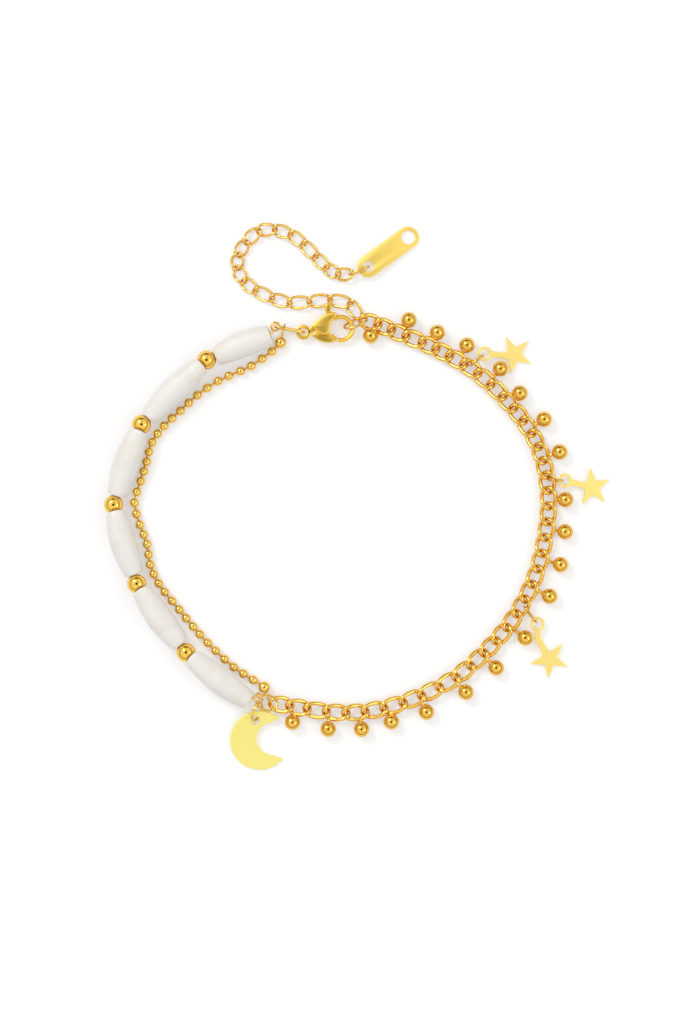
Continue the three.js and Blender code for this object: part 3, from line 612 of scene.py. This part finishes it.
def milk_finish(name, seed):
    """Milky white with faint cream and rose clouds, stretched streaks and a soft gloss."""
    material, shader, flow = new_material(name)
    place = flow.node("ShaderNodeTexCoord", {}, {}, "Object")
    moved = flow.node("ShaderNodeMapping", {}, {
        "Vector": place, "Location": (seed * 0.013, seed * 0.007, 0.0)})
    cloud = flow.node("ShaderNodeTexNoise", {}, {
        "Vector": moved, "Scale": 210.0, "Detail": 4.0, "Distortion": 0.8}, "Fac")
    streak = flow.node("ShaderNodeTexNoise", {}, {
        "Vector": moved, "Scale": 620.0, "Detail": 5.0, "Roughness": 0.6}, "Fac")
    tone = flow.node("ShaderNodeValToRGB", {"stops": [
        (0.30, (0.69, 0.67, 0.62)), (0.45, (0.66, 0.62, 0.55)), (0.58, (0.69, 0.66, 0.62)),
        (0.72, (0.67, 0.66, 0.63))]}, {0: cloud}, "Color")
    pale = flow.node("ShaderNodeMix", {"data_type": "RGBA"}, {
        0: streak * 0.5, 6: tone, 7: (0.73, 0.71, 0.68, 1)}, 2)
    feed(shader, "Base Color", pale)
    feed(shader, "Roughness", 0.46 + 0.2 * (streak - 0.5))
    shader.inputs["Subsurface Weight"].default_value = 0.25
    shader.inputs["Subsurface Radius"].default_value = (0.0016, 0.0014, 0.0012)
    shader.inputs["Subsurface Scale"].default_value = 1.0
    shader.inputs["Coat Weight"].default_value = 0.1
    shader.inputs["Coat Roughness"].default_value = 0.4
    bump = flow.node("ShaderNodeBump", {}, {
        "Strength": 0.08, "Distance": 0.00004, "Height": streak}, "Normal")
    feed(shader, "Normal", bump)
    return material


stations = [bead_start, *spacer_places, bead_end]
barrels = []
for index, (start, end) in enumerate(zip(stations, stations[1:])):
    along = unit((end - start) * (1, 1, 0))
    start, end = start.copy(), end.copy()
    if index > 0:
        start += along * nest_after
        start[2] = barrel_high
    if index < len(stations) - 2:
        end -= along * nest_before
        end[2] = barrel_low
    middle = (start + end) / 2 + np.cross(along, upward) * barrel_bow
    barrels.append([start, middle, end])
for index, points in enumerate(barrels, 1):
    shape = turned(barrel_profile(curve_length(points)), points, barrel_sides,
                   barrel_lip if index > 1 else 0.0)
    make_piece(f"barrel_{index}", shape, milk_finish(f"milk_{index}", index),
               [f"white_bead_{index}"])

# Gold round beads between the barrels: thin brass shells, polished and gilded, with a drilled
# mouth at each side where the wire goes through.
spacer_diameter = 3.17
spacer_bore = 1.1
spacer_gold = gilding("spacer_gold", (0.86, 0.51, 0.08), (0.95, 0.63, 0.13), 0.07)
spacer_wall = 0.08
spacer_lip = 0.06
spacer_mouth = math.degrees(math.asin(spacer_bore / spacer_diameter))
for index, centre in enumerate(spacer_places, 1):
    along = unit(barrels[index][0] - barrels[index - 1][2])
    radius = spacer_diameter / 2
    depth = radius * math.cos(math.radians(spacer_mouth))
    inner = [(spacer_bore / 2 - spacer_lip, depth - spacer_wall),
             (spacer_bore / 2 - spacer_lip, spacer_wall - depth)]
    profile = arc(radius, 0, spacer_mouth, 180 - spacer_mouth, 24) + inner
    shape = lathed(profile + profile[:1], centre, along, 40)
    make_piece(f"round_bead_{index}", shape, spacer_gold, [f"gold_bead_{index}"])

# Bead wire: one gilded brass wire that runs through all the beads. It shows only at its ends,
# where it is bent into a loop round the clasp's ring and another round the junction's ring.
bead_wire = 0.4
loop_diameter = 1.72
clasp_pivot = np.array([-5.7, 27.7, 1.15])
clasp_eye = (-3.3, -0.75)
clasp_ring_start = np.array([clasp_pivot[0] + clasp_eye[0], clasp_pivot[1] + clasp_eye[1], 1.04])
clasp_ring_end = np.array([-13.6, 27.8, 2.1])
end_ring_place = np.array([-15.0, -34.17, 1.21])
end_ring_along = heading(-11.2)
end_ring_side = heading(78.8)
end_ring_size = (3.84, 3.04, 0.44)
end_ring_roll = math.radians(-16.7)
end_loop_turn = math.radians(140.5)

ring_a = (end_ring_size[0] - end_ring_size[2]) / 2
ring_b = (end_ring_size[1] - end_ring_size[2]) / 2
end_loop = (end_ring_place + end_ring_along * ring_a * math.cos(end_loop_turn)
            + end_ring_side * ring_b * math.sin(end_loop_turn) * math.cos(end_ring_roll)
            + upward * ring_b * math.sin(end_loop_turn) * math.sin(end_ring_roll))
end_loop_facing = unit(end_ring_along * math.cos(end_loop_turn) / ring_a
                       + end_ring_side * math.sin(end_loop_turn) / ring_b * math.cos(end_ring_roll))
loop_radius = (loop_diameter - bead_wire) / 2
toward = barrels[0][0] - clasp_ring_end
wire_points = [clasp_ring_end + toward * loop_radius / np.linalg.norm(toward)]
for index, points in enumerate(barrels):
    wire_points += points
    if index < len(spacer_places):
        wire_points.append(spacer_places[index])
wire_points.append(end_loop + end_loop_facing * loop_radius)
wire_line = [on_curve(wire_points, place)
             for place in np.linspace(0, len(wire_points) - 1, (len(wire_points) - 1) * 8 + 1)]
loop_corners, loop_faces = wire_oval(loop_diameter, loop_diameter, bead_wire)
wire_gold = gilding("wire_gold", (0.86, 0.54, 0.13), (0.95, 0.66, 0.20), 0.15)
make_piece("stringing_wire", joined([
    tube(wire_line, [upward] * len(wire_line), bead_wire / 2, 12, closed=False),
    (stood(loop_corners, clasp_ring_end, heading(0)), loop_faces),
    (stood(loop_corners, end_loop, end_loop_facing, math.pi / 2), loop_faces),
]), wire_gold, ["bead_wire"])

# Rings: closed rings bent from gilded brass wire. A long one joins the strings to the clasp, one
# joins them to the curb chain, and one hangs the moon there.
clasp_ring_wire = 0.52
clasp_ring_width = 2.3
moon_ring_from = np.array([-16.12, -34.11, 1.42])
moon_ring_to = np.array([-17.15, -37.07, 1.29])
moon_ring_wire = 0.46
moon_ring_width = 2.98
moon_ring_roll = math.radians(-60)
clasp_ring_squareness = 0.75
ring_gold = gilding("ring_gold", (0.86, 0.54, 0.13), (0.95, 0.66, 0.20), 0.12)


def ring_between(start, end, width, wire, roll, squareness=1.0):
    """A closed ring whose wire's middle line reaches from one point to another."""
    length = np.linalg.norm(end - start) + wire
    ring_corners, ring_faces = wire_oval(length, width, wire, squareness=squareness)
    return stood(ring_corners, (start + end) / 2, end - start, roll), ring_faces


make_piece("long_clasp_ring", ring_between(
    clasp_ring_start, clasp_ring_end, clasp_ring_width, clasp_ring_wire, math.pi / 2,
    clasp_ring_squareness), ring_gold, ["clasp_ring"])
end_ring_reach = end_ring_along * ring_a
make_piece("junction_ring", ring_between(
    end_ring_place - end_ring_reach, end_ring_place + end_ring_reach, end_ring_size[1],
    end_ring_size[2], end_ring_roll), ring_gold, ["end_ring"])
make_piece("moon_hanging_ring", ring_between(
    moon_ring_from, moon_ring_to, moon_ring_width, moon_ring_wire, moon_ring_roll),
    ring_gold, ["moon_ring"])

# Star charms: five-pointed plates stamped from brass sheet, gilded and satin, each with a neck and
# a round eye that hangs on a small ring of its own.
plate_thickness = 0.45
plate_edge = 0.07
bevel_inset = 0.45
plate_lift = 0.72
star_radius = 3.15
star_inner = 1.2
star_waist = 0.9
star_eye_outer = 2.3
star_eye_hole = 1.6
star_ring_wire = 0.38
star_ring_width = 2.5
star_ring_gap = 0.2
star_ring_gap_behind = 0.32
star_ring_lift = 0.02
star_ring_squareness = 0.75
neck_bend_share = 0.7
corner_step = math.radians(36)
circle_corners = 36
eye_corners = 40
# The link's number, the ring's place along it, which way the ring hangs and how far off the eye
# lies, then the star's heading, its middle's distance from the eye, its turn and its neck's bend
star_rows = [
    (7, -0.12, 39, 2.21, -0.8, 4.92, 8.2, 0.0),
    (16, -0.25, -1.3, 1.77, -13.6, 4.68, 1.1, 0.0),
    (24, 0.05, -52, 2.87, -70.7, 6.17, 12.6, -0.75),
]


def arc_points(x, y, radius, start, end, steps):
    """Points on a circle, with angles in degrees."""
    return [(x + radius * math.cos(math.radians(turn)), y + radius * math.sin(math.radians(turn)))
            for turn in np.linspace(start, end, steps)]


def circle(x, y, radius):
    return arc_points(x, y, radius, 0, 360 - 360 / circle_corners, circle_corners)


def plate(outline, holes, thickness, edge, low=None):
    """A flat plate with softened edges, from an outline and its holes, about z = 0."""
    curve = bpy.data.curves.new("outline", "CURVE")
    curve.dimensions = "2D"
    curve.fill_mode = "BOTH"
    curve.extrude = thickness / 2 - edge
    curve.bevel_depth = edge
    curve.bevel_resolution = 2
    curve.offset = -edge * bevel_inset
    for loop in [outline, *holes]:
        spline = curve.splines.new("POLY")
        spline.points.add(len(loop) - 1)
        for point, (x, y) in zip(spline.points, loop):
            point.co = (x, y, 0, 1)
        spline.use_cyclic_u = True
    holder = bpy.data.objects.new("outline", curve)
    scene.collection.objects.link(holder)
    bpy.context.view_layer.update()
    mesh = bpy.data.meshes.new_from_object(
        holder.evaluated_get(bpy.context.evaluated_depsgraph_get()))
    corners = np.array([vertex.co for vertex in mesh.vertices], float)
    faces = [list(polygon.vertices) for polygon in mesh.polygons]
    bpy.data.objects.remove(holder)
    bpy.data.curves.remove(curve)
    bpy.data.meshes.remove(mesh)
    if low is not None:
        corners[:, 2] += low + thickness / 2
    return corners, faces


def laid(shape, x, y, degrees, farthest):
    """A plate with its eye at x, y, raised there, and its far end on the sheet."""
    corners, faces = shape
    tilt = math.asin(plate_lift / farthest)
    turn = Matrix.Rotation(math.radians(degrees), 3, "Z") @ Matrix.Rotation(tilt, 3, "Y")
    lift = plate_thickness / 2 * math.cos(tilt) + plate_lift
    return corners @ np.array(turn).T + (x, y, lift), faces


def star_shape(reach, turn, bend):
    """Eye, neck and star. The neck joins a corner's flanks where they are as wide as it is."""
    c, r = math.cos(math.radians(turn)), math.sin(math.radians(turn))

    def at(x, y):
        return (reach + x * c - y * r, x * r + y * c)

    flank = (star_radius - star_inner * math.cos(corner_step)) / star_inner / math.sin(corner_step)
    root = star_waist / 2 * flank - star_radius
    elbow = ((reach - star_radius) * neck_bend_share, bend)
    leaving = math.degrees(math.atan2(bend, elbow[0]))
    across = math.atan2(at(root, 0)[1], at(root, 0)[0]) + math.pi / 2
    half = (star_waist / 2 * math.cos(across), star_waist / 2 * math.sin(across))
    neck = math.degrees(math.asin(star_waist / star_eye_outer))
    outline = arc_points(0, 0, star_eye_outer / 2, leaving + neck, leaving + 360 - neck,
                         eye_corners)
    outline += [(elbow[0] - half[0], elbow[1] - half[1]), at(root, -star_waist / 2)]
    for corner in range(1, 10):
        radius = star_inner if corner % 2 else star_radius
        angle = corner_step * corner
        outline.append(at(-radius * math.cos(angle), -radius * math.sin(angle)))
    outline += [at(root, star_waist / 2), (elbow[0] + half[0], elbow[1] + half[1])]
    return plate(outline, [circle(0, 0, star_eye_hole / 2)], plate_thickness,
                 plate_edge)


star_gold = gilding("star_gold", (1.0, 0.77, 0.22), (1.0, 0.81, 0.27), 0.46, 0.08, 0.5)
star_ring_gold = gilding("star_ring_gold", (0.70, 0.38, 0.06), (0.85, 0.50, 0.10), 0.12)
for index, row in enumerate(star_rows, 1):
    number, shift, hang, ring_reach, degrees, reach, turn, bend = row
    wire_place = side_wire(curb_links[number], shift, 1)
    out = heading(hang)
    eye_place = wire_place + out * ring_reach
    farthest = reach + star_radius * math.cos(corner_step - math.radians(turn))
    make_piece(f"star_charm_{index}", laid(
        star_shape(reach, turn, bend), eye_place[0], eye_place[1], degrees, farthest), star_gold,
        [f"star_{index}"], plates=True)
    behind = (curb_wire + star_ring_wire) / 2 + star_ring_gap_behind
    inside = (star_eye_hole - star_ring_wire) / 2 - star_ring_gap
    corners, faces = wire_oval(ring_reach + behind - inside + star_ring_wire, star_ring_width,
                               star_ring_wire, squareness=star_ring_squareness)
    centre = wire_place + out * (ring_reach - inside - behind) / 2
    centre[2] = star_ring_width / 2 + star_ring_lift
    make_piece(f"star_hanging_ring_{index}", (stood(corners, centre, out, math.pi / 2), faces),
               star_ring_gold, [f"star_ring_{index}"])

# Moon: a crescent stamped from the stars' brass sheet, gilded and satin like them. A hole near its
# upper tip takes its ring.
moon_diameter = 9.74
moon_bite_diameter = 5.56
moon_bite_across = 2.2
moon_bite_up = 0.25
moon_tips = (50.0, 320.4)
moon_bite_turns = (262.0, 95.0)
moon_hole = 1.52
moon_hole_from_edge = 1.5
moon_eye = (-16.9, -37.1)
moon_heading = -78.0
moon_corners = 90
bite_corners = 50
moon_radius = moon_diameter / 2
moon_centre = (moon_radius - moon_hole_from_edge, 0.0)
bite_turn = math.atan2(moon_bite_up, moon_bite_across) - math.radians(moon_heading)
bite_reach = math.hypot(moon_bite_across, moon_bite_up)
bite_centre = (moon_centre[0] + bite_reach * math.cos(bite_turn),
               moon_centre[1] + bite_reach * math.sin(bite_turn))
moon_outline = arc_points(*moon_centre, moon_radius, moon_tips[0] - moon_heading,
                          moon_tips[1] - moon_heading, moon_corners)
moon_outline += arc_points(*bite_centre, moon_bite_diameter / 2,
                           moon_bite_turns[0] - moon_heading, moon_bite_turns[1] - moon_heading,
                           bite_corners)
moon_shape = plate(moon_outline, [circle(0, 0, moon_hole / 2)],
                   plate_thickness, plate_edge)
moon_gold = gilding("moon_gold", (1.0, 0.86, 0.26), (1.0, 0.89, 0.29), 0.46, 0.08, 0.5)
make_piece("crescent_moon", laid(moon_shape, *moon_eye, moon_heading,
                                 moon_diameter - moon_hole_from_edge),
           moon_gold, ["moon_pendant"], plates=True)

# Tag: a bare plate with round ends, stamped from brass sheet and gilded. The extender's last link
# passes through its smaller hole, and a larger hole is at its free end.
tag_length = 11.7
tag_width = 3.5
tag_small_hole = 1.9
tag_big_hole = 2.4
tag_eye = (1.7, 37.8)
tag_heading = 36.5
tag_end_corners = 40
tag_span = tag_length - tag_width
tag_outline = (arc_points(tag_span, 0, tag_width / 2, -90, 90, tag_end_corners)
               + arc_points(0, 0, tag_width / 2, 90, 270, tag_end_corners))
tag_shape = plate(tag_outline, [circle(0, 0, tag_small_hole / 2),
                                circle(tag_span, 0, tag_big_hole / 2)],
                  plate_thickness, plate_edge)
tag_gold = gilding("tag_gold", (0.97, 0.70, 0.15), (1.0, 0.75, 0.19), 0.44, 0.08, 0.5)
make_piece("bare_tag", laid(tag_shape, *tag_eye, tag_heading, tag_length - tag_width / 2),
           tag_gold, ["tag_plate"], plates=True)

# Lobster clasp body: cast brass with two flat cheeks, a round hook and a flat eye, on a pin that
# the lever turns on.
lever_thick = 0.6
slot_gap = 0.2
cheek_thick = 0.55
cheek_edge = 0.2
hook_centre = (2.87, -0.15)
hook_inner = 1.55
hook_band = 0.76
hook_turns = (-122.0, 128.0)
hook_thick = 1.0
eye_hole = 1.4
eye_band = 0.46
eye_thick = 0.54
eye_edge = 0.14
neck_edge = 0.1
back_edge = 0.12
corner_cut = 0.22
pin_diameter = 0.7
gate_reach = 2.95
gate_gap = 0.17
heart = [
    (1.39, 2.43), (0.45, 2.14), (-0.3, 1.62), (-1.04, 1.04), (-1.55, 0.45), (-1.77, 0.15),
    (-1.4, -0.07), (-0.89, -0.66), (-0.4, -0.98), (0.2, -1.05), (0.66, -1.02), (0.96, -0.45),
    (1.02, 0.3), (1.15, 0.95), (1.55, 1.5), (2.1, 1.8), (2.1, 2.3),
]
neck_outline = [(-2.35, 0.0), (-1.5, 0.4), (-1.0, 0.3), (-1.1, -0.3), (-2.5, -1.1)]
back_outline = [
    (-1.7, 0.15), (-1.0, 1.04), (-0.3, 1.62), (0.45, 2.14), (1.39, 2.43), (2.1, 2.3),
    (2.1, 1.7), (1.3, 1.75), (0.4, 1.4), (-0.5, 0.7), (-1.2, 0.0),
]


def smoothed(points, rounds=2):
    """An outline with its corners cut softer, once a round."""
    for _ in range(rounds):
        points = [tuple(np.array(a) * (1 - share) + np.array(b) * share)
                  for a, b in zip(points, points[1:] + points[:1])
                  for share in (corner_cut, 1 - corner_cut)]
    return points


def at_pivot(shape):
    corners, faces = shape
    return corners + clasp_pivot, faces


def band(x, y, radius, start, end, width, thick):
    """A rounded bar bent along a circle, with its angles in degrees."""
    line = [(*point, 0.0) for point in arc_points(x, y, radius, start, end, 48)]
    return tube(line, [upward] * len(line), width / 2, 20, closed=False, flat=thick / width)


cheek = smoothed(heart)
cheek_low = lever_thick / 2 + slot_gap
hook_radius = hook_inner + hook_band / 2
gate_stop = [turn for turn in np.arange(hook_turns[0], 0, 0.5)
             if math.hypot(hook_centre[0] + hook_radius * math.cos(math.radians(turn)),
                           hook_centre[1] + hook_radius * math.sin(math.radians(turn)))
             > gate_reach + gate_gap][0]
eye_ring = plate(circle(*clasp_eye, eye_hole / 2 + eye_band),
                 [circle(*clasp_eye, eye_hole / 2)], eye_thick, eye_edge)
neck = plate(smoothed(neck_outline, 1), [], eye_thick, neck_edge)
back = plate(smoothed(back_outline, 1), [], hook_thick, back_edge)
clasp_gold = gilding("clasp_gold", (0.93, 0.58, 0.09), (0.98, 0.64, 0.12), 0.34)
make_piece("clasp_frame", at_pivot(joined([
    plate(cheek, [], cheek_thick, cheek_edge, cheek_low),
    plate(cheek, [], cheek_thick, cheek_edge, -cheek_low - cheek_thick),
    band(*hook_centre, hook_radius, gate_stop, hook_turns[1], hook_band, hook_thick),
    eye_ring, neck, back,
    lathed([(0, 0), (pin_diameter / 2, 0), (pin_diameter / 2, 2 * cheek_low), (0, 2 * cheek_low)],
           (0, 0, -cheek_low), upward, 24),
])), clasp_gold, ["clasp_body"], plates=True)

# Lever: a cast brass tongue that closes the hook and turns on the clasp's pin. A boss goes round
# the pin, and a nub for the thumb stands on its tail.
lever_boss = 0.85
pin_gap = 0.25
nub_height = 0.55
nub_sunk = 0.1
nub_edge = 0.2
gate_edge = 0.15
boss_edge = 0.08
tail_edge = 0.1
gate_root = -148.0
gate_end_gap = 4.5
gate_thinner = 0.1
gate = [
    (-1.9, -1.17), (-1.4, -1.68), (-0.6, -2.13), (0.3, -2.43), (1.32, -2.38), (1.7, -2.3),
    (1.7, -1.6), (1.2, -1.35), (0.6, -0.5), (-0.8, -0.3), (-1.45, -0.8),
]
tail = [(0.3, 0.0), (1.1, 0.0), (1.2, 2.8), (0.4, 2.8)]
nub = [(0.35, 2.5), (1.25, 2.5), (1.28, 3.7), (1.05, 3.9), (0.6, 3.9), (0.35, 3.7)]
lever_gold = gilding("lever_gold", (0.90, 0.55, 0.08), (0.97, 0.62, 0.11), 0.31)
make_piece("clasp_tongue", at_pivot(joined([
    plate(smoothed(gate), [], lever_thick, gate_edge),
    plate(circle(0, 0, lever_boss),
          [circle(0, 0, pin_diameter / 2 + pin_gap)], lever_thick, boss_edge),
    plate(smoothed(tail, 1), [], lever_thick, tail_edge),
    plate(smoothed(nub), [], nub_height + nub_sunk, nub_edge, lever_thick / 2 - nub_sunk),
    band(*hook_centre, hook_radius, gate_root, gate_stop - gate_end_gap, hook_band,
         hook_thick - gate_thinner),
])), lever_gold, ["clasp_lever"], body="lever", plates=True)
